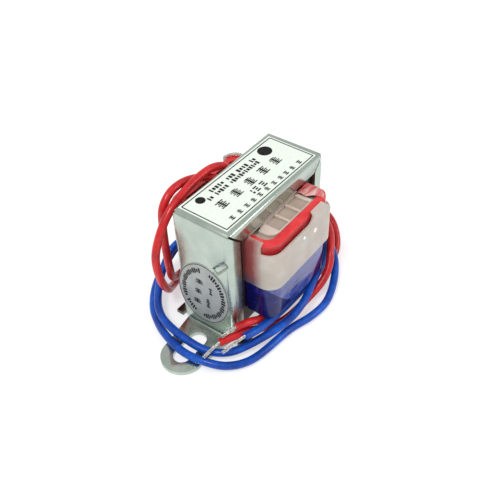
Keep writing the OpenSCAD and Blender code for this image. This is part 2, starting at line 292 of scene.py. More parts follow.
def film_tape(name, dark, main, light, side, edge_z):
    """Glossy polyester tape with soft wrinkles: three tones above edge_z, and below it the side's
    darker tone, a painted shade.
    """
    m = Maker(name, main, 0.2, Specular_IOR_Level=0.3, Coat_Weight=0.2, Coat_Roughness=0.06)
    folds = m.noise(0.004, 4, place=m.mapped(scale=(1, 1, 2.5)))
    blotch = m.noise(0.0015, 3)
    mixed = m.math("ADD", m.math("MULTIPLY", folds, 0.7), m.math("MULTIPLY", blotch, 0.3))
    tone = m.ramp(mixed, (0.35, dark), (0.52, main), (0.72, light))
    # painted shade: below edge_z the tape takes the darker side tone
    below = m.spread(m.axes()[2], 0.8, 0.0, edge_z - 0.0003, edge_z)
    m.paint(m.mix(below, tone, side))
    m.finish(m.spread(blotch, 0.12, 0.26))
    return m.bump(mixed, 0.00012, 0.5)


# Where the covers let the tapes show: from the -X end inwards and towards the front corner,
# on the front cover only; where red gives way to blue; and where the frost begins
COVER_END_X = (-0.0100, -0.0090)
COVER_END_Y = (-0.0092, -0.0070)
COVER_REAR_Y = (-0.003, 0.0)
TAPE_MEET_Z = (0.0135, 0.0165)
FROST_Z = (0.0228, 0.0242)


def milky_cover():
    """Thin milky plastic: the tapes show through its -X end, and its top is frosted."""
    m = Maker("milky_cover", rgb(226, 218, 210), 0.34, Transmission_Weight=0.42, IOR=1.47,
              Subsurface_Weight=0.3, Subsurface_Scale=0.0015)
    clouds = m.noise(0.004, 4)
    tone = m.ramp(clouds, (0.3, rgb(216, 203, 192)), (0.7, rgb(238, 230, 220)))
    x, y, z = m.axes()
    ragged = m.math("ADD", y, m.math("MULTIPLY", m.noise(0.003, 4), 0.0014))
    clear = m.math("MULTIPLY", m.spread(ragged, 0.0, 0.88, *COVER_END_Y),
                   m.spread(x, 1.0, 0.0, *COVER_END_X))
    clear = m.math("MULTIPLY", clear, m.spread(y, 1.0, 0.0, *COVER_REAR_Y))
    behind = m.mix(m.spread(z, 1.0, 0.0, *TAPE_MEET_Z), rgb(172, 40, 48), rgb(78, 70, 110))
    seen = m.mix(clear, tone, behind)
    frost = m.math("MULTIPLY", m.spread(z, 0.0, 0.75, *FROST_Z),
                   m.ramp(clouds, (0.4, 0), (0.6, 1)))
    m.paint(m.mix(frost, seen, rgb(232, 214, 208)))
    m.finish(m.spread(clouds, 0.3, 0.42))
    return m.bump(m.noise(0.0012, 4), 0.00002, 0.5)


def clear_film(name, dark, main, light):
    """Thin crumpled film, glossy along its wrinkles."""
    m = Maker(name, main, 0.16, Coat_Weight=0.5, Coat_Roughness=0.06)
    folds = m.noise(0.003, 3, 0.5, place=m.mapped(scale=(0.7, 2.4, 1), turn=(0, 0, 0.5)))
    m.paint(m.ramp(folds, (0.36, dark), (0.5, main), (0.64, light)))
    m.finish(m.spread(folds, 0.1, 0.3))
    return m.bump(folds, 0.0004, 0.7)


def label_paper():
    """Coated white label paper with a faint grain."""
    m = Maker("label_paper", rgb(233, 241, 231), 0.5, Specular_IOR_Level=0.3)
    grain = m.noise(0.0004, 5)
    m.paint(m.ramp(grain, (0.3, rgb(228, 237, 227)), (0.7, rgb(238, 245, 236))))
    m.finish(m.spread(grain, 0.42, 0.6))
    return m.bump(grain, 0.000006, 0.4)


def sticker_foil():
    """Matt silver foil with a sparkle in it."""
    m = Maker("sticker_foil", rgb(170, 175, 173), 0.45, Metallic=0.55)
    sparkle = m.noise(0.00022, 2, 0.7)
    clouds = m.noise(0.003, 3)
    tone = m.math("ADD", m.math("MULTIPLY", sparkle, 0.6), m.math("MULTIPLY", clouds, 0.4))
    m.paint(m.ramp(tone, (0.3, rgb(150, 156, 153)), (0.7, rgb(192, 197, 194))))
    m.finish(m.spread(sparkle, 0.36, 0.56))
    return m.bump(sparkle, 0.000006, 0.4)


def printing_ink():
    """Slightly patchy black print."""
    m = Maker("printing_ink", rgb(10, 12, 10), 0.6, Specular_IOR_Level=0.2)
    patches = m.noise(0.0005, 4)
    m.paint(m.ramp(patches, (0.35, rgb(6, 7, 6)), (0.8, rgb(34, 36, 34))))
    m.finish(m.spread(patches, 0.4, 0.6))
    return m.bump(patches, 0.000004, 0.3)


def soft_pvc(name, dark, main, light):
    """Lead insulation: extruded sheen, faint run lines and rubbed spots."""
    m = Maker(name, main, 0.28, Specular_IOR_Level=0.32, Coat_Weight=0.12, Coat_Roughness=0.1)
    clouds = m.noise(0.004, 4)
    specks = m.noise(0.0006, 4, 0.6)
    mixed = m.math("ADD", m.math("MULTIPLY", clouds, 0.65), m.math("MULTIPLY", specks, 0.35))
    m.paint(m.ramp(mixed, (0.32, dark), (0.52, main), (0.74, light)))
    m.finish(m.spread(specks, 0.24, 0.42))
    return m.bump(mixed, 0.00004, 0.4)


def tinned_copper():
    """Dull tinned strands with solder frost."""
    m = Maker("tinned_copper", rgb(205, 203, 198), 0.35, Metallic=0.9)
    frost = m.noise(0.0004, 4)
    m.paint(m.ramp(frost, (0.3, rgb(150, 148, 142)), (0.65, rgb(232, 230, 226))))
    m.finish(m.spread(frost, 0.25, 0.5))
    return m.bump(frost, 0.00003, 0.5)


def floor_card():
    """White seamless paper."""
    m = Maker("floor_card", (0.55, 0.55, 0.55), 0.9, Emission_Color=(1, 1, 1, 1),
              Emission_Strength=0.52)
    grain = m.noise(0.002, 3)
    m.paint(m.ramp(grain, (0.3, 0.54), (0.7, 0.56)))
    return m.bump(grain, 0.00001, 0.2)


FINISH = {
    "zinc_steel": zinc_steel(),
    "core_steel": core_steel(),
    "bobbin_nylon": bobbin_nylon(),
    "enamelled_copper": enamelled_copper(),
    # the red tape's last colour is painted shade on its sides, below its top
    "red_tape": film_tape("red_tape", rgb(190, 34, 38), rgb(222, 46, 50), rgb(236, 70, 70),
                          rgb(168, 34, 38), 0.0235),
    # the blue tape's last colour is painted shade on its lower part
    "blue_tape": film_tape("blue_tape", rgb(10, 10, 66), rgb(16, 18, 96), rgb(34, 42, 128),
                           rgb(14, 16, 84), 0.009),
    "milky_cover": milky_cover(),
    # the pips' colours, lighter than the cover's, are partly painted highlight
    "pip_plastic_and_highlight": clear_film("pip_plastic_and_highlight", rgb(226, 220, 212), rgb(240, 236, 230),
                            rgb(250, 248, 244)),
    "pink_film": clear_film("pink_film", rgb(196, 66, 70), rgb(214, 124, 122),
                            rgb(236, 200, 194)),
    # a lighter blue for the sheet that stands for a reflection on the glossy blue tape
    "blue_reflection_sheet": clear_film("blue_reflection_sheet", rgb(42, 52, 126), rgb(54, 66, 140),
                            rgb(74, 88, 160)),
    "label_paper": label_paper(),
    "sticker_foil": sticker_foil(),
    "printing_ink": printing_ink(),
    "red_pvc": soft_pvc("red_pvc", rgb(154, 18, 24), rgb(202, 32, 36), rgb(224, 56, 56)),
    "blue_pvc": soft_pvc("blue_pvc", rgb(0, 44, 124), rgb(0, 70, 172), rgb(6, 104, 214)),
    "tinned_copper": tinned_copper(),
}

NODE_FINISH = {
    "channel_frame": "zinc_steel",
    "e_laminations_up": "core_steel",
    "e_laminations_down": "core_steel",
    "i_laminations_top": "core_steel",
    "i_laminations_bottom": "core_steel",
    "bobbin": "bobbin_nylon",
    "primary_winding": "enamelled_copper",
    "secondary_winding": "enamelled_copper",
    "primary_tape": "red_tape",
    "secondary_tape": "blue_tape",
    "front_cover": "milky_cover",
    "rear_cover": "milky_cover",
    "top_label": "label_paper",
    "side_sticker": "sticker_foil",
    "red_lead_1": "red_pvc",
    "red_lead_2": "red_pvc",
    "blue_lead_1": "blue_pvc",
    "blue_lead_2": "blue_pvc",
    "red_tip_1": "tinned_copper",
    "red_tip_2": "tinned_copper",
    "blue_tip_1": "tinned_copper",
    "blue_tip_2": "tinned_copper",
}


def give(piece, finish):
    """Put one finish on every face of a piece."""
    piece.data.materials.clear()
    piece.data.materials.append(FINISH[finish])


for node_name, node_finish in NODE_FINISH.items():
    give(NODES[node_name], node_finish)


# ---------------------------------------------------------------- making pieces

def new_piece(name, verts, faces):
    """A mesh object from places in millimetres, closed and with its faces outwards."""
    data = bpy.data.meshes.new(name)
    data.from_pydata([Vector(v) * MM for v in verts], [], faces)
    return outward(show(name, data))


def baked(piece):
    """The mesh that a piece has once its modifiers are applied."""
    graph = bpy.context.evaluated_depsgraph_get()
    return bpy.data.meshes.new_from_object(piece.evaluated_get(graph))


def settle(piece):
    """Bake the modifiers into the mesh and take them off."""
    mesh = baked(piece)
    piece.modifiers.clear()
    piece.data = mesh


def outward(piece):
    """Merge doubled points and turn every face outwards."""
    form = bmesh.new()
    form.from_mesh(piece.data)
    bmesh.ops.remove_doubles(form, verts=form.verts, dist=1e-7)
    bmesh.ops.recalc_face_normals(form, faces=form.faces)
    form.to_mesh(piece.data)
    form.free()
    return piece


# Angles in degrees past which a fold stays crisp, and past which an edge is broken
CREASE = 32
ROUND_CREASE = 50
SHARP_EDGE = 38


def smooth_faces(piece, angle=CREASE):
    """Shade smooth, with creases where faces meet at more than that angle."""
    for face in piece.data.polygons:
        face.use_smooth = True
    piece.data.set_sharp_from_angle(angle=math.radians(angle))
    return piece


def break_edges(piece, width, segments=2):
    """Round the sharp edges by that width in millimetres."""
    edges = piece.modifiers.new("edges", "BEVEL")
    edges.width = width * MM
    edges.segments = segments
    edges.limit_method = "ANGLE"
    edges.angle_limit = math.radians(SHARP_EDGE)
    edges.use_clamp_overlap = True
    settle(piece)
    return smooth_faces(piece)


def fit(piece, node=None):
    """Seat a finished piece on the one body, in place of the CAD node it stands for."""
    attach(piece, "root")
    if node:
        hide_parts(node)


# Angle in degrees below which neighbouring faces become one
FLAT_JOIN = 0.5


def softened(node, name, width):
    """A merged copy of a CAD node with its edges broken."""
    piece = show(name, NODES[node].data.copy())
    form = bmesh.new()
    form.from_mesh(piece.data)
    bmesh.ops.remove_doubles(form, verts=form.verts, dist=1e-6)
    bmesh.ops.dissolve_limit(form, angle_limit=math.radians(FLAT_JOIN), verts=form.verts,
                             edges=form.edges)
    form.to_mesh(piece.data)
    form.free()
    break_edges(piece, width)
    give(piece, NODE_FINISH[node])
    fit(piece, node)


def ring(half_x, half_y, radius, z, steps=8):
    """Points round a rounded rectangle, anticlockwise."""
    points = []
    for quarter, (sx, sy) in enumerate(((1, 1), (-1, 1), (-1, -1), (1, -1))):
        for k in range(steps + 1):
            a = math.pi / 2 * (quarter + k / steps)
            points.append((sx * (half_x - radius) + radius * math.cos(a),
                           sy * (half_y - radius) + radius * math.sin(a), z))
    return points


def block(name, half_x, half_y, low, high, corner, shoulder, steps=6):
    """A solid with rounded upright corners and a rounded top edge."""
    rings = [ring(half_x, half_y, corner, low)]
    for k in range(steps + 1):
        a = math.pi / 2 * k / steps
        inset = shoulder * (1 - math.cos(a))
        rings.append(ring(half_x - inset, half_y - inset, corner - inset,
                          high - shoulder * (1 - math.sin(a))))
    count = len(rings[0])
    top = (len(rings) - 1) * count
    faces = [tuple(reversed(range(count))), tuple(range(top, top + count))]
    for level in range(len(rings) - 1):
        a, b = level * count, (level + 1) * count
        for k in range(count):
            n = (k + 1) % count
            faces.append((a + k, a + n, b + n, b + k))
    return new_piece(name, [point for level in rings for point in level], faces)


def prism(outline, low, high, axis):
    """A straight bar with that outline, along Y (outline in X, Z) or Z (outline in X, Y)."""
    def place(a, b, c):
        """One corner: a and b on the outline, c along the bar."""
        return (a, c, b) if axis == "Y" else (a, b, c)
    count = len(outline)
    verts = [place(a, b, low) for a, b in outline] + [place(a, b, high) for a, b in outline]
    faces = [tuple(range(count)), tuple(reversed(range(count, 2 * count)))]
    faces += [(k, k + count, (k + 1) % count + count, (k + 1) % count) for k in range(count)]
    return new_piece("cutter", verts, faces)


def cut(piece, *cutters):
    """Take the cutters out of a piece."""
    for cutter in cutters:
        hole = piece.modifiers.new("cut", "BOOLEAN")
        hole.operation = "DIFFERENCE"
        hole.solver = "EXACT"
        hole.object = cutter
        settle(piece)
        bpy.data.objects.remove(cutter)


def turned(piece, name):
    """A copy turned half round the upright axis."""
    twin = show(name, piece.data.copy())
    twin.data.transform(Matrix.Rotation(math.pi, 4, "Z"))
    return twin


# ---------------------------------------------------------------- frame and bobbin

softened("channel_frame", "folded_frame", 0.12)
softened("bobbin", "moulded_bobbin", 0.1)


# ---------------------------------------------------------------- covers

# Half the length and width of the wound tape, its top edge, corners and top shoulder
TAPE_X = 9.85
TAPE_Y = 11.6
TAPE_TOP = 23.75
TAPE_R = 3.15
TAPE_SHOULDER = 0.6
# What a cover or a film leaves free above the tape
TAPE_CLEAR = 0.04
# The front face of the core, on +Y or -Y
CORE_FACE = 5.5
# Half the length and width of the covers, their edges, corners and wall
COVER_X = 10.35
COVER_Y = 12.4
COVER_LOW = 13.7
COVER_TOP = 24.2
COVER_R = 3
COVER_SHOULDER = 1.0
WALL = 0.45
COVER_EDGE = 0.14
# The opening over the tray: its distance from the cover's sides, its corners, the strip of
# cover left beside the core, and how far below the tape's top the cut starts
TRAY_RIM = 1
TRAY_R = 3
TRAY_STRIP = 0.7
TRAY_DROP = 0.2
# The window in the face: its lower edge, +X end, corner, depth and the rear one's start
WINDOW_LOW = 22.0
WINDOW_END = 2.4
WINDOW_R = 1.5
WINDOW_SIDE = -9.4
REAR_WINDOW = -7.4
# The slope down to the front cover's +X end
SLOPE_START = 5.8
SLOPE_END = 9.2
SLOPE_LOW = 20.8
# Past everything, and below everything
FAR = 40
UNDER = -1


def arc(cx, cy, radius, start, end, steps=6):
    """Points on a circle between two angles in degrees."""
    turn = [math.radians(start + (end - start) * k / steps) for k in range(steps + 1)]
    return [(cx + radius * math.cos(a), cy + radius * math.sin(a)) for a in turn]


def behind(face):
    """What lies beyond a plane that faces -Y at that depth."""
    return prism([(-FAR, -face), (FAR, -face), (FAR, FAR), (-FAR, FAR)], UNDER, FAR, "Z")


def slope_cutter():
    """What is missing above the +X end of a cover."""
    return prism([(SLOPE_START, COVER_TOP + 0.1), (SLOPE_END, SLOPE_LOW), (FAR, SLOPE_LOW),
                  (FAR, FAR), (SLOPE_START, FAR)], -FAR, FAR, "Y")


def moulded_cover(name, window_start, sloped):
    """Half shell over the coil: open towards the core, over the tray and in the window."""
    piece = block(name, COVER_X, COVER_Y, COVER_LOW, COVER_TOP, COVER_R, COVER_SHOULDER)
    inner = block("cutter", COVER_X - WALL, COVER_Y - WALL, UNDER, TAPE_TOP + TAPE_CLEAR,
                  COVER_R - WALL, COVER_SHOULDER - WALL)
    rim = COVER_X - TRAY_RIM
    corner_x, corner_y = rim - TRAY_R, TRAY_R - TAPE_Y
    start = -CORE_FACE - TRAY_STRIP
    opening = prism([(rim, start), (-rim, start)]
                    + arc(-corner_x, corner_y, TRAY_R, 180, 270)
                    + arc(corner_x, corner_y, TRAY_R, 270, 360), TAPE_TOP - TRAY_DROP, FAR, "Z")
    window = prism([(window_start, WINDOW_LOW)]
                   + arc(WINDOW_END - WINDOW_R, WINDOW_LOW + WINDOW_R, WINDOW_R, 270, 360)
                   + [(WINDOW_END, FAR), (window_start, FAR)], -FAR, WINDOW_SIDE, "Y")
    cut(piece, inner, behind(CORE_FACE), opening, window)
    if sloped:
        cut(piece, slope_cutter())
    break_edges(piece, COVER_EDGE, 3)
    give(piece, "milky_cover")
    return piece


front = moulded_cover("cover_front", -FAR, True)
whole = moulded_cover("cover_whole", REAR_WINDOW, False)
rear = turned(whole, "cover_rear")
bpy.data.objects.remove(whole)
fit(front, "front_cover")
fit(rear, "rear_cover")

# Place in X and Z and radius of each pip, how flat they are, and their rings and points
PIPS = ((3, 19.6, 0.55), (-0.7, 20.4, 0.35))
PIP_FLATNESS = 0.45
PIP_RINGS = 12
PIP_POINTS = 20


def pip_point(x, z, radius, level, k):
    """A point on a pip: level from its top down, k round it."""
    a, b = math.pi * level / PIP_RINGS, math.tau * k / PIP_POINTS
    return (x + radius * math.sin(a) * math.cos(b),
            -COVER_Y + PIP_FLATNESS * radius * math.sin(a) * math.sin(b), z + radius * math.cos(a))


def moulding_pips():
    """Two low rounded pips on the front cover."""
    verts = []
    faces = []
    for x, z, radius in PIPS:
        top = len(verts)
        verts += [pip_point(x, z, radius, level, k) for level in range(1, PIP_RINGS)
                  for k in range(PIP_POINTS)]
        bottom = len(verts)
        verts += [(x, -COVER_Y, z + radius), (x, -COVER_Y, z - radius)]
        rows = range(top, bottom, PIP_POINTS)
        for k in range(PIP_POINTS):
            n = (k + 1) % PIP_POINTS
            faces.append((bottom, rows[0] + k, rows[0] + n))
            faces += [(a + k, b + k, b + n, a + n) for a, b in zip(rows, rows[1:])]
            faces.append((rows[-1] + k, bottom + 1, rows[-1] + n))
    piece = smooth_faces(new_piece("cover_pips", verts, faces))
    give(piece, "pip_plastic_and_highlight")
    fit(piece)


moulding_pips()


# ---------------------------------------------------------------- loose film and painted reflection on the coil

# Gap between the tape and a film
FILM_GAP = 0.03
# The end film: how far it stands out and rises above the tape, how far it reaches down
# behind the cover's slope, and its distance from the core
END_FILM_OUT = 0.09
END_FILM_RISE = 0.1
END_FILM_LAP = 0.6
END_FILM_BACK = 0.8
# The blue sheet, a painted reflection: how far it stands out, its lowest edge, how far it
# reaches up behind the cover, its sharp top edge and its distance from the core
BLUE_SHEET_OUT = 0.1
BLUE_SHEET_LOW = 5.2
BLUE_SHEET_LAP = 0.3
BLUE_SHEET_EDGE_R = 0.02
BLUE_SHEET_BACK = 0.2
# The torn edge of the end film, in X and Y
END_FILM_EDGE = [(7.6, -FAR), (7.3, -10.4), (6.9, -9.2), (5.9, -8.2), (6.2, -7), (5.4, -5)]
# The hanging edge of the blue reflection sheet, in X and Z
BLUE_SHEET_EDGE = [(-FAR, 13.2), (-9.7, 13), (-9.1, 12.2), (-7.4, 10.1), (-5.3, 7.7), (-3.1, 5.9),
                  (-1.8, 5.4), (2.9, 5.4), (3.9, 6), (4.7, 7.5), (5.7, 9.1), (6.8, 10),
                  (8.4, 11.4), (9.4, 12.8), (FAR, 13.2)]


def wrap(name, out, low, high, shoulder):
    """A closed block that stands out from the tape by that much."""
    return block(name, TAPE_X + out, TAPE_Y + out, low, high, TAPE_R + out, shoulder)


def end_film():
    """Wrinkled clear film over the +X end of the red tape, above the cover."""
    piece = wrap("end_film", END_FILM_OUT, SLOPE_LOW - END_FILM_LAP, TAPE_TOP + END_FILM_RISE,
                 TAPE_SHOULDER + END_FILM_OUT)
    inner = wrap("cutter", FILM_GAP, UNDER, TAPE_TOP + TAPE_CLEAR, TAPE_SHOULDER + FILM_GAP)
    left = prism([(-FAR, -FAR), *END_FILM_EDGE, (-FAR, -5)], UNDER, FAR, "Z")
    cut(piece, inner, behind(CORE_FACE + END_FILM_BACK), left)
    give(piece, "pink_film")
    fit(smooth_faces(piece))


def blue_reflection_sheet():
    """Lighter blue sheet under the front cover, over the blue tape: a painted reflection."""
    piece = wrap("blue_reflection_sheet", BLUE_SHEET_OUT, BLUE_SHEET_LOW, COVER_LOW + BLUE_SHEET_LAP,
                 BLUE_SHEET_EDGE_R)
    inner = wrap("cutter", FILM_GAP, UNDER, FAR, BLUE_SHEET_EDGE_R)
    below = prism([*BLUE_SHEET_EDGE, (FAR, -FAR), (-FAR, -FAR)], -FAR, FAR, "Y")
    cut(piece, inner, behind(CORE_FACE + BLUE_SHEET_BACK), below)
    # painted reflection: the lighter blue sheet stands for a reflection on the glossy tape
    give(piece, "blue_reflection_sheet")
    fit(smooth_faces(piece))


end_film()
blue_reflection_sheet()


# ---------------------------------------------------------------- print on label and sticker

# Height of the print above its label
INK = 0.02


def strip(u0, v0, u1, v1, width):
    """Corners of a straight bar between two points."""
    along = Vector((u1 - u0, v1 - v0)).normalized()
    side = Vector((-along.y, along.x)) * width / 2
    return [(u0 - side.x, v0 - side.y), (u1 - side.x, v1 - side.y), (u1 + side.x, v1 + side.y),
            (u0 + side.x, v0 + side.y)]


def printed(name, outlines, place):
    """Thin raised print: closed outlines in u, v, put in space by a function of u, v, height."""
    verts = []
    faces = []
    for outline in outlines:
        start = len(verts)
        count = len(outline)
        verts += [place(u, v, 0) for u, v in outline]
        verts += [place(u, v, INK) for u, v in outline]
        faces.append(tuple(start + k for k in reversed(range(count))))
        faces.append(tuple(start + count + k for k in range(count)))
        for k in range(count):
            n = (k + 1) % count
            faces.append((start + k, start + n, start + count + n, start + count + k))
    piece = new_piece(name, verts, faces)
    give(piece, "printing_ink")
    fit(piece)


def disc(cu, cv, ru, rv, steps=28):
    """Corners of an oval spot."""
    return [(cu + ru * math.cos(math.tau * k / steps), cv + rv * math.sin(math.tau * k / steps))
            for k in range(steps)]


# The top label: its upper face, middle and turn, and half the size of its printed frame
LABEL_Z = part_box("top_label")[1][2] / MM
LABEL_X = -0.25
LABEL_Y = -0.07
LABEL_TURN = -1.2
BORDER_U = 13.0
BORDER_V = 5.07
BORDER_LINE = 0.22


def label_place(u, v, height):
    """Print on the top label: u along it, v across it."""
    a = math.radians(LABEL_TURN)
    return (LABEL_X + u * math.cos(a) - v * math.sin(a),
            LABEL_Y + u * math.sin(a) + v * math.cos(a), LABEL_Z + height)


def small_row(start, end, v0, v1, height, steps, gaps):
    """A row of small plain dashes with a few gaps, standing for a line of print."""
    marks = []
    for k in range(steps):
        if k in gaps:
            continue
        u = start + (end - start) * (k + 0.5) / steps
        v = v0 + (v1 - v0) * (k + 0.5) / steps
        wide = (end - start) / steps * (0.72 if k % 3 else 0.5)
        tall = height * (1, 0.72, 0.86, 1, 0.6)[k % 5]
        marks.append(strip(u - wide / 2, v, u + wide / 2, v, tall))
    return marks


# Shares of a ladder: a short bar, a bar's thickness and the upright's thickness
SHORT_BAR = 0.7
BAR_WEIGHT = 0.58
UPRIGHT_WEIGHT = 0.15


def ladder(cu, cv, wide, tall, bars, upright=True):
    """A plain block of parallel bars, standing for a large printed sign."""
    marks = []
    for k in range(bars):
        v = cv + tall * ((k + 0.5) / bars - 0.5)
        half = wide / 2 * (SHORT_BAR if k % 2 else 1)
        marks.append(strip(cu - half, v, cu + half, v, tall / bars * BAR_WEIGHT))
    if upright:
        marks.append(strip(cu, cv - tall / 2, cu, cv + tall / 2, wide * UPRIGHT_WEIGHT))
    return marks


# Places along the label, with the number of bars of the large blocks
LARGE_BLOCKS = ((-8.2, 5), (-4.2, 6), (-0.2, 6), (3.8, 5), (7.55, 6))
SMALL_BLOCKS = (-10.05, -7.95, -5.95, -4.1, -2.2, -0.15, 1.95, 3.9, 5.65, 7.55, 9.75)


def label_print():
    """A thin frame, two discs, rows of dashes and barred blocks."""
    marks = []
    for s in (-1, 1):
        marks.append(strip(-BORDER_U, s * BORDER_V, BORDER_U, s * BORDER_V, BORDER_LINE))
    for s in (-1, 1):
        marks.append(strip(s * BORDER_U, -BORDER_V, s * BORDER_U, BORDER_V, BORDER_LINE))
    marks += [disc(-9.7, 3.6, 0.95, 0.95), disc(8.9, 3.25, 1.5, 1.45)]
    marks += small_row(-6.9, 5.9, 3.78, 3.3, 1.0, 17, (5, 9, 14))
    marks += small_row(-8.9, 5.5, 2.5, 2.2, 1.0, 21, (2, 8))
    for u, bars in LARGE_BLOCKS:
        marks += ladder(u, -0.2, 2.0, 2.1, bars)
    marks += ladder(-2.35, -2.45, 0.5, 1.5, 2, False)
    marks += ladder(-1.2, -2.48, 1.0, 1.6, 3, False)
    marks += ladder(0.6, -2.55, 1.2, 1.6, 3, False)
    for k, u in enumerate(SMALL_BLOCKS):
        marks += ladder(u, -3.9 - 0.02 * k, 0.95, 1.05, 3 + k % 2)
    printed("label_print", marks, label_place)


# The oval sticker: its outer face, middle, width, height and turn
STICKER_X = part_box("side_sticker")[0][0] / MM
STICKER_Y = 0.6
STICKER_Z = 10.1
STICKER_W = 11.9
STICKER_H = 15.7
STICKER_TURN = 12.4


def sticker_place(u, v, height):
    """Print on the side sticker: u towards +Y, v up."""
    return (STICKER_X - height, u, v)


def sticker_point(radius, angle):
    """A point at that share of the oval's radius: angle 0 towards +Y, 90 up."""
    a = math.radians(angle)
    u = radius * STICKER_W / 2 * math.cos(a)
    v = radius * STICKER_H / 2 * math.sin(a)
    t = math.radians(STICKER_TURN)
    return (STICKER_Y + u * math.cos(t) - v * math.sin(t),
            STICKER_Z + u * math.sin(t) + v * math.cos(t))


# Angles between which the ticks run, and one tick's share of the turn
TICK_RUNS = ((-39, 71), (95, 260), (281, 314))
TICK_STEP = 6.6
# The rim line's edges, as shares of the oval, and its pieces
RIM_IN = 0.965
RIM_OUT = 0.985
RIM_STEPS = 72
# Two opposite corners in Y and Z and the number of bars of each block
STICKER_BLOCKS = ((2.19, 13.58, 0.43, 12.55, 4), (2.60, 10.75, 1.01, 9.82, 4),
                  (3.26, 7.68, 1.39, 7.03, 4), (-0.90, 12.72, -1.61, 10.80, 3),
                  (0.06, 9.27, -0.84, 6.88, 4))
LOWEST_BLOCK = 1.2


def sticker_print():
    """A broken ring of ticks round a few barred blocks, and a thin rim line."""
    marks = []
    for start, end in TICK_RUNS:
        steps = round((end - start) / TICK_STEP)
        for k in range(steps):
            a = start + (end - start) * (k + 0.5) / steps
            inner, outer = (0.70, 0.86) if k % 3 else (0.73, 0.83)
            marks.append([sticker_point(inner, a - 2.4), sticker_point(outer, a - 2.3),
                          sticker_point(outer, a + 2.3), sticker_point(inner, a + 2.4)])
    for k in range(RIM_STEPS):
        a, b = 360 * k / RIM_STEPS, 360 * (k + 1) / RIM_STEPS
        marks.append([sticker_point(RIM_IN, a), sticker_point(RIM_OUT, a),
                      sticker_point(RIM_OUT, b), sticker_point(RIM_IN, b)])
    for u0, v0, u1, v1, bars in STICKER_BLOCKS:
        tall = max(LOWEST_BLOCK, abs(v0 - v1))
        marks += ladder((u0 + u1) / 2, (v0 + v1) / 2, abs(u0 - u1), tall, bars)
    printed("sticker_print", marks, sticker_place)


label_print()
sticker_print()


# ---------------------------------------------------------------- leads

# Top of the bobbin, where the red leads come out, and the leads' thickness
BOB_TOP = 22.85
LEAD_D = 1.6
# Routes of the leads, from the coil to the cut end, and the ends of their bared strands
RED_1 = [(3.5, 7.5, BOB_TOP), (3.5, 7.5, 24.2), (2.5, 8, 26), (-0.4, 8.6, 27.2),
         (-4, 8.9, 27.2), (-8, 8.9, 26.6), (-12.3, 9, 24.9), (-15.6, 9, 21.7), (-17.7, 9, 17.2),
         (-17.3, 9, 11), (-15, 9.9, 6), (-11.2, 12.6, 2), (-6.6, 13.8, 1.1), (10, 13, 1.1),
         (16.4, 10, 2.2), (20.6, 5, 5), (22, -1, 7), (21, -5.8, 5.9), (18.4, -8.9, 2.7),
         (14.4, -9.9, 1), (8, -9, 0.95), (0, -7.9, 1.1), (-9.4, -8.5, 3.9), (-12.4, -8.3, 5.7),
         (-15.4, -7.2, 6.2)]
RED_2 = [(0.2, 7.1, BOB_TOP), (0.2, 7.1, 23.9), (-0.5, 7.9, 25.1), (-2.6, 9.8, 25.8),
         (-6, 11, 26.4), (-9.6, 11.2, 26.2), (-12, 11.2, 24.2), (-12.7, 11.2, 20.5),
         (-12.5, 11.2, 8.6), (-11.2, 11.9, 5), (-7.6, 12.7, 3.3), (6, 13, 2.8), (12.4, 11.4, 3.8),
         (16.4, 7, 6), (18.1, 1, 8.4), (17.4, -4.8, 9.8), (14.6, -9, 9.4), (11.4, -11.3, 7.7),
         (8.8, -12.6, 5.4), (6.4, -12.7, 3.4), (3.2, -12.1, 1.8), (-4.6, -11, 0.9),
         (-8.4, -9.5, 1.4), (-14.3, -8, 4.2), (-18.7, -5.8, 4.1)]
BLUE_1 = [(2.8, TAPE_Y, 7.4), (2.8, 13.1, 7.4), (1.2, 15.7, 6.9), (-2, 17, 5.9), (-7, 17, 4),
          (-12.6, 15.8, 1.8), (-17.2, 12.6, 0.95), (-20, 8.6, 0.95), (-21.7, 5.2, 1.65),
          (-22.9, 0, 1.65), (-22.5, -4.7, 1.75), (-20.6, -8.6, 1.2), (-16.8, -11.4, 0.9),
          (-6, -13.3, 0.9), (-1, -14.8, 0.9), (4, -15.2, 0.9), (9.6, -13.6, 1.6),
          (13.4, -11.4, 3), (16.8, -8, 3.8), (20.2, -4.6, 3.4), (22.2, -1, 2.6), (21.6, 2.2, 1.9),
          (19.3, 3.5, 1.65), (17, 2.2, 1.65), (16.3, -0.6, 1.65), (16.4, -4.4, 1.8),
          (15.5, -7.6, 2.2), (12.2, -9.5, 2.7), (-3, -10.4, 3.3), (-12.2, -10, 4.5),
          (-15.4, -9.3, 5.1)]
BLUE_2 = [(-2, TAPE_Y, 8.4), (-2, 12.9, 8.4), (-3.4, 14.9, 8.2), (-6.6, 15.8, 7.4), (-11, 15, 5),
          (-14.8, 13, 3.6), (-18.2, 9.9, 2.8), (-20.2, 5.4, 2.8), (-20.2, -3.4, 1.7),
          (-18.2, -7.2, 1.7), (-14.6, -9.4, 1.8), (-5.8, -12.6, 2.9), (-1.2, -12.9, 3.8),
          (3.8, -11.8, 4.2), (9, -10.5, 4.4), (13, -9.4, 4.9), (16.3, -6.9, 5.4),
          (18.2, -2.6, 5.2), (18.6, 1.5, 4.4)]
RED_END_1 = (-18.3, -6.1, 5.6)
RED_END_2 = (-22.6, -5, 3.2)
BLUE_END_1 = (-20.4, -7.8, 4.4)
BLUE_END_2 = (18.6, 4.7, 3.7)


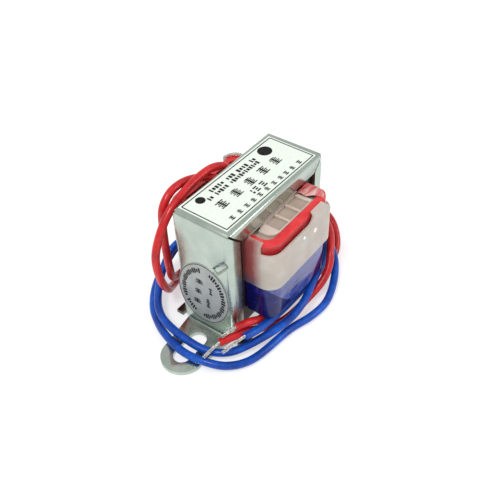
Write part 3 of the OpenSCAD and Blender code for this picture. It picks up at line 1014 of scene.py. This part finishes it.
def smooth_route(points, steps=8):
    """Points along a rounded line through the given ones, in metres (centripetal spline)."""
    p = [Vector(q) * MM for q in points]
    p = [2 * p[0] - p[1], *p, 2 * p[-1] - p[-2]]
    made = []
    for a, b, c, d in zip(p, p[1:], p[2:], p[3:]):
        t1 = (b - a).length ** 0.5
        t2 = t1 + (c - b).length ** 0.5
        t3 = t2 + (d - c).length ** 0.5
        for k in range(steps):
            t = t1 + (t2 - t1) * k / steps
            ab = a.lerp(b, t / t1)
            bc = b.lerp(c, (t - t1) / (t2 - t1))
            cd = c.lerp(d, (t - t2) / (t3 - t2))
            ac = ab.lerp(bc, t / t2)
            bd = bc.lerp(cd, (t - t1) / (t3 - t1))
            made.append(ac.lerp(bd, (t - t1) / (t2 - t1)))
    return made + [p[-2]]


def route_length(points):
    """Length of a line through those points."""
    return sum((b - a).length for a, b in zip(points, points[1:]))


# A strand's thickness, how many there are, their distance from the middle one, their twist
# in turns, how far they spread at the end, and the sides of one strand
STRAND_D = 0.2
STRANDS = 7
BUNDLE_R = 0.2
STRAND_TURNS = 0.9
STRAND_SPREAD = 0.16
STRAND_SIDES = 8
# Their bend in the middle, their length inside the lead, and the steps along them
STRAND_SAG = Vector((0.12, 0.1, -0.1)) * MM
STRAND_HIDDEN = 0.4
STRAND_STEPS = 10


def strand_tree():
    """Geometry Nodes: a bundle of round strands twisted about a given centre line."""
    tree = bpy.data.node_groups.new("twisted_strands", "GeometryNodeTree")
    for name, kind in (("Geometry", "Geometry"), ("Strand radius", "Float"),
                       ("Bundle radius", "Float"), ("Strands", "Int"), ("Turns", "Float"),
                       ("Finish", "Material")):
        tree.interface.new_socket(name, in_out="INPUT", socket_type="NodeSocket" + kind)
    tree.interface.new_socket("Geometry", in_out="OUTPUT", socket_type="NodeSocketGeometry")
    nodes, links = tree.nodes, tree.links

    def add(kind, **settings):
        """A new node with its settings."""
        made = nodes.new(kind)
        for key, value in settings.items():
            setattr(made, key, value)
        return made

    def value(operation, a, b=None):
        """One sum on one or two values."""
        made = add("ShaderNodeMath", operation=operation)
        for socket, source in zip(made.inputs, (a, b)):
            if isinstance(source, bpy.types.NodeSocket):
                links.new(source, socket)
            elif source is not None:
                socket.default_value = source
        return made.outputs[0]

    given = add("NodeGroupInput").outputs
    copies = add("GeometryNodeDuplicateElements", domain="SPLINE")
    links.new(given["Geometry"], copies.inputs["Geometry"])
    links.new(given["Strands"], copies.inputs["Amount"])
    along = add("GeometryNodeSplineParameter").outputs["Factor"]
    number = copies.outputs["Duplicate Index"]
    keep = add("GeometryNodeStoreNamedAttribute", data_type="FLOAT", domain="CURVE")
    keep.inputs["Name"].default_value = "strand"
    links.new(copies.outputs["Geometry"], keep.inputs["Geometry"])
    links.new(number, keep.inputs["Value"])
    read = add("GeometryNodeInputNamedAttribute", data_type="FLOAT")
    read.inputs["Name"].default_value = "strand"
    which = read.outputs["Attribute"]
    last = value("SUBTRACT", given["Strands"], 1.0)
    # every strand but the last lies round the last one, which runs in the middle
    phase = value("MULTIPLY", value("DIVIDE", which, last), math.tau)
    twist = value("MULTIPLY", value("MULTIPLY", along, given["Turns"]), math.tau)
    angle = value("ADD", phase, twist)
    outer = value("LESS_THAN", which, value("SUBTRACT", last, 0.5))
    late = value("POWER", along, 3.0)
    fray = value("ADD", value("MULTIPLY", late, value("MULTIPLY", which, STRAND_SPREAD)), 1.0)
    reach = value("MULTIPLY", value("MULTIPLY", given["Bundle radius"], outer), fray)
    tangent = add("GeometryNodeInputTangent").outputs[0]
    side = add("ShaderNodeVectorMath", operation="CROSS_PRODUCT")
    links.new(tangent, side.inputs[0])
    side.inputs[1].default_value = (0.0, 0.0, 1.0)
    unit = add("ShaderNodeVectorMath", operation="NORMALIZE")
    links.new(side.outputs[0], unit.inputs[0])
    spin = add("ShaderNodeVectorRotate", rotation_type="AXIS_ANGLE")
    links.new(unit.outputs[0], spin.inputs["Vector"])
    links.new(tangent, spin.inputs["Axis"])
    links.new(angle, spin.inputs["Angle"])
    offset = add("ShaderNodeVectorMath", operation="SCALE")
    links.new(spin.outputs[0], offset.inputs[0])
    links.new(reach, offset.inputs["Scale"])
    moved = add("GeometryNodeSetPosition")
    links.new(keep.outputs[0], moved.inputs["Geometry"])
    links.new(offset.outputs[0], moved.inputs["Offset"])
    circle = add("GeometryNodeCurvePrimitiveCircle", mode="RADIUS")
    circle.inputs["Resolution"].default_value = STRAND_SIDES
    links.new(given["Strand radius"], circle.inputs["Radius"])
    tube = add("GeometryNodeCurveToMesh")
    links.new(moved.outputs[0], tube.inputs["Curve"])
    links.new(circle.outputs["Curve"], tube.inputs["Profile Curve"])
    tube.inputs["Fill Caps"].default_value = True
    real = add("GeometryNodeRealizeInstances")
    links.new(tube.outputs[0], real.inputs["Geometry"])
    coat = add("GeometryNodeSetMaterial")
    links.new(real.outputs[0], coat.inputs["Geometry"])
    links.new(given["Finish"], coat.inputs["Material"])
    links.new(coat.outputs[0], add("NodeGroupOutput").inputs[0])
    return tree


STRAND_TREE = strand_tree()


def open_line(name, line):
    """A curve object along those points."""
    data = bpy.data.curves.new(name, "CURVE")
    data.dimensions = "3D"
    spline = data.splines.new("POLY")
    spline.points.add(len(line) - 1)
    for point, place in zip(spline.points, line):
        point.co = (*place, 1)
    spline.use_smooth = True
    return show(name, data)


def bared_end(name, node, start, end):
    """The twisted, tinned strands that stick out of a lead."""
    start, end = Vector(start) * MM, Vector(end) * MM
    back = start - (end - start).normalized() * STRAND_HIDDEN * MM
    shares = [k / STRAND_STEPS for k in range(STRAND_STEPS + 1)]
    line = [back.lerp(end, t) + STRAND_SAG * math.sin(math.pi * t) for t in shares]
    source = open_line(name + "_line", line)
    bundle = source.modifiers.new("strands", "NODES")
    bundle.node_group = STRAND_TREE
    sizes = {"Strand radius": STRAND_D / 2 * MM, "Bundle radius": BUNDLE_R * MM,
             "Strands": STRANDS, "Turns": STRAND_TURNS, "Finish": FINISH["tinned_copper"]}
    for item in STRAND_TREE.interface.items_tree:
        if item.name in sizes:
            bundle[item.identifier] = sizes[item.name]
    mesh = baked(source)
    bpy.data.objects.remove(source)
    piece = outward(show(name, mesh))
    give(piece, "tinned_copper")
    smooth_faces(piece, ROUND_CREASE)
    fit(piece, node)
    return piece


def lead(name, nodes, route, end, finish):
    """One insulated lead as a curve, with its bared end riding on it."""
    line = smooth_route(route)
    piece = open_line(name, line)
    piece.data.bevel_depth = LEAD_D / 2 * MM
    piece.data.bevel_resolution = 5
    piece.data.use_fill_caps = True
    give(piece, finish)
    tip = bared_end(name + "_strands", nodes[1], route[-1], end)
    fit(piece, nodes[0])
    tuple(line[0])
    route_length(line)


lead("red_wire_1", ("red_lead_1", "red_tip_1"), RED_1, RED_END_1, "red_pvc")
lead("red_wire_2", ("red_lead_2", "red_tip_2"), RED_2, RED_END_2, "red_pvc")
lead("blue_wire_1", ("blue_lead_1", "blue_tip_1"), BLUE_1, BLUE_END_1, "blue_pvc")
lead("blue_wire_2", ("blue_lead_2", "blue_tip_2"), BLUE_2, BLUE_END_2, "blue_pvc")


# ---------------------------------------------------------------- floor and lights

# Half the floor's width, its gap under the ears, and the lamps' width and aim, in metres
FLOOR_REACH = 1.5
FLOOR_GAP = 0.0002
LAMP_SIZE = 0.12
LAMP_AIM = Vector((0, 0, 0.012))
SKY_STRENGTH = 0.7


def set_floor():
    """A wide sheet of white card just under the ears."""
    mesh = bpy.data.meshes.new("floor")
    corners = [(-FLOOR_REACH, -FLOOR_REACH, 0), (FLOOR_REACH, -FLOOR_REACH, 0),
               (FLOOR_REACH, FLOOR_REACH, 0), (-FLOOR_REACH, FLOOR_REACH, 0)]
    mesh.from_pydata(corners, [], [(0, 1, 2, 3)])
    floor = show("floor", mesh)
    floor.location.z = -FLOOR_GAP
    mesh.materials.append(floor_card())


def area_light(name, place, power):
    """A square lamp that points at the transformer."""
    data = bpy.data.lights.new(name, "AREA")
    data.shape = "SQUARE"
    data.size = LAMP_SIZE
    data.energy = power
    aim = (LAMP_AIM - Vector(place)).to_track_quat("-Z", "Y")
    lamp = show(name, data)
    lamp.matrix_world = Matrix.Translation(place) @ aim.to_matrix().to_4x4()


def set_world():
    """Even white light from all round."""
    world = bpy.data.worlds.new("studio")
    world.use_nodes = True
    background = world.node_tree.nodes["Background"]
    background.inputs["Color"].default_value = (1, 1, 1, 1)
    background.inputs["Strength"].default_value = SKY_STRENGTH
    bpy.context.scene.world = world


set_floor()
set_world()
area_light("key", (-0.25, -0.05, 0.45), 1.0)
area_light("fill", (0.2, -0.4, 0.3), 0.45)
